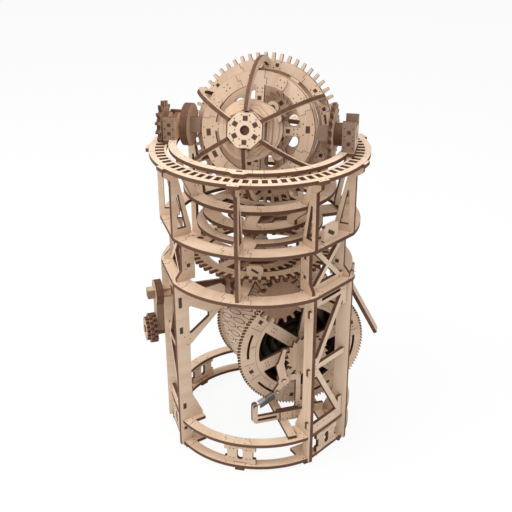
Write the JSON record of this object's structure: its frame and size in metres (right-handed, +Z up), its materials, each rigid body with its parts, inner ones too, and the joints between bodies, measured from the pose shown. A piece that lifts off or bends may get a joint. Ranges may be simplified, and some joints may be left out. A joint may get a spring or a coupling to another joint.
{
  "type": "wooden mechanical table clock",
  "caption": "Plywood table clock: a round tower whose slotted dial carries a turning carriage with a tumbling geared cage, driven by a spring drum and set by a side crank.",
  "frame": {"origin": "on the tower's vertical axis at the floor", "axes": "+Z up along the tower, -Y towards the front arc, +X to the right seen from the front"},
  "size_m": [0.1945, 0.1786, 0.332],
  "materials": {
    "birch_ply": "pale birch plywood faces with fine grain and brown laser-cut edges",
    "dark_ply": "birch plywood gears seen mostly at their brown laser-cut edges",
    "dowel": "smooth turned birch dowel",
    "spring_steel": "bright grey spring steel"
  },
  "bodies": {
    "frame": {"feet": "dark_ply", "base_lower_ring": "birch_ply", "base_upper_ring": "birch_ply", "base_tabs": "birch_ply", "base_crossbar": "birch_ply", "columns": "birch_ply", "side_trusses": "birch_ply", "mid_shelf": "birch_ply", "mid_posts": "birch_ply", "mid_trusses": "birch_ply", "second_shelf": "birch_ply", "centre_bearing": "birch_ply", "lower_bearing": "birch_ply", "arbor_hangers": "birch_ply", "a_frames": "birch_ply", "dial_ring": "birch_ply", "drum_front_bracket": "birch_ply", "drum_rear_bracket": "birch_ply", "spring_arm": "birch_ply", "lever_bracket": "birch_ply"},
    "carriage": {"carriage_ring": "birch_ply", "axle_towers": "birch_ply", "side_gear": "dark_ply", "yoke_arms": "birch_ply", "carriage_lower_ring": "birch_ply", "carriage_legs": "birch_ply", "carriage_base": "birch_ply", "drive_gear": "dark_ply", "centre_shaft": "dowel", "centre_wheels": "birch_ply"},
    "cage": {"cage_ring": "birch_ply", "cage_ribs": "birch_ply", "hub_plate": "birch_ply", "hub_stack": "birch_ply", "cage_axles": "dowel", "axle_blocks": "birch_ply", "roller_gear": "dark_ply", "cage_bridge": "birch_ply", "fixed_wheel": "dark_ply"},
    "core": {"tourbillon_gear": "birch_ply", "core_pillars": "dowel", "core_front_ring": "birch_ply", "core_rear_plate": "birch_ply"},
    "escape": {"escape_wheel": "dark_ply", "escape_arbor": "dowel"},
    "fork": {"pallet_fork": "birch_ply"},
    "balance": {"balance_wheel": "birch_ply"},
    "drum": {"drum_rims": "birch_ply", "drum_shell": "birch_ply", "mainspring": "spring_steel"},
    "arbor": {"drum_arbor": "dowel", "ratchet_wheel": "dark_ply"},
    "click": {"click_pawl": "birch_ply", "click_spring": "spring_steel"},
    "train": {"train_arbor": "dowel", "train_wheels": "dark_ply"},
    "crank": {"crank_handle": "dark_ply", "crank_gear": "dark_ply"},
    "knob": {"crank_knob": "dark_ply"},
    "lever": {"stop_lever": "birch_ply"}
  },
  "joints": [
    {"name": "carriage_turn", "type": "hinge", "parent": "frame", "child": "carriage", "pos_m": [0, 0, 0], "axis": [0, 0, 1], "continuous": true},
    {"name": "cage_turn", "type": "hinge", "parent": "carriage", "child": "cage", "pos_m": [0, 0, 0.27496], "axis": [1, 0, 0], "continuous": true},
    {"name": "core_turn", "type": "hinge", "parent": "cage", "child": "core", "pos_m": [0, 0, 0.27496], "axis": [0, -0.9613, 0.2756], "continuous": true},
    {"name": "escape_turn", "type": "hinge", "parent": "core", "child": "escape", "pos_m": [0.01081, 0.00477, 0.29159], "axis": [0, -0.9613, 0.2756], "continuous": true},
    {"name": "fork_swing", "type": "hinge", "parent": "core", "child": "fork", "pos_m": [0.01705, -0.00504, 0.25738], "axis": [0, -0.9613, 0.2756], "range_deg": [-2.5, 2.5]},
    {"name": "balance_swing", "type": "hinge", "parent": "core", "child": "balance", "pos_m": [0, 0, 0.27496], "axis": [0, -0.9613, 0.2756], "range_deg": [-100, 100]},
    {"name": "train_turn", "type": "hinge", "parent": "frame", "child": "train", "pos_m": [0, 0, 0.15073], "axis": [0.5, -0.866, 0], "continuous": true},
    {"name": "drum_turn", "type": "hinge", "parent": "frame", "child": "drum", "pos_m": [0.02139, 0.01235, 0.092], "axis": [0.5, -0.866, 0], "continuous": true},
    {"name": "arbor_turn", "type": "hinge", "parent": "frame", "child": "arbor", "pos_m": [0.02139, 0.01235, 0.092], "axis": [0.5, -0.866, 0], "continuous": true},
    {"name": "click_swing", "type": "hinge", "parent": "frame", "child": "click", "pos_m": [0.00398, 0.0023, 0.0702], "axis": [0.5, -0.866, 0], "range_deg": [0, 14], "stiffness_Nm_per_rad": 0.02, "springref_deg": -11.46, "deforming": ["click_spring"]},
    {"name": "crank_turn", "type": "hinge", "parent": "frame", "child": "crank", "pos_m": [0, 0, 0.14363], "axis": [-0.866, -0.5, 0], "continuous": true},
    {"name": "knob_turn", "type": "hinge", "parent": "crank", "child": "knob", "pos_m": [0, 0, 0.11063], "axis": [-0.866, -0.5, 0], "continuous": true},
    {"name": "lever_swing", "type": "hinge", "parent": "frame", "child": "lever", "pos_m": [0.07332, 0.00513, 0.149], "axis": [0.0698, -0.9976, 0], "range_deg": [-3, 12]}
  ],
  "couplings": [
    {"joint": "cage_turn", "follows": "carriage_turn", "ratio": 5.1429},
    {"joint": "core_turn", "follows": "carriage_turn", "ratio": -1.9286},
    {"joint": "escape_turn", "follows": "carriage_turn", "ratio": -5.7857},
    {"joint": "train_turn", "follows": "carriage_turn", "ratio": -2.9412},
    {"joint": "drum_turn", "follows": "carriage_turn", "ratio": 0.44118},
    {"joint": "crank_turn", "follows": "carriage_turn", "ratio": -1.5}
  ]
}
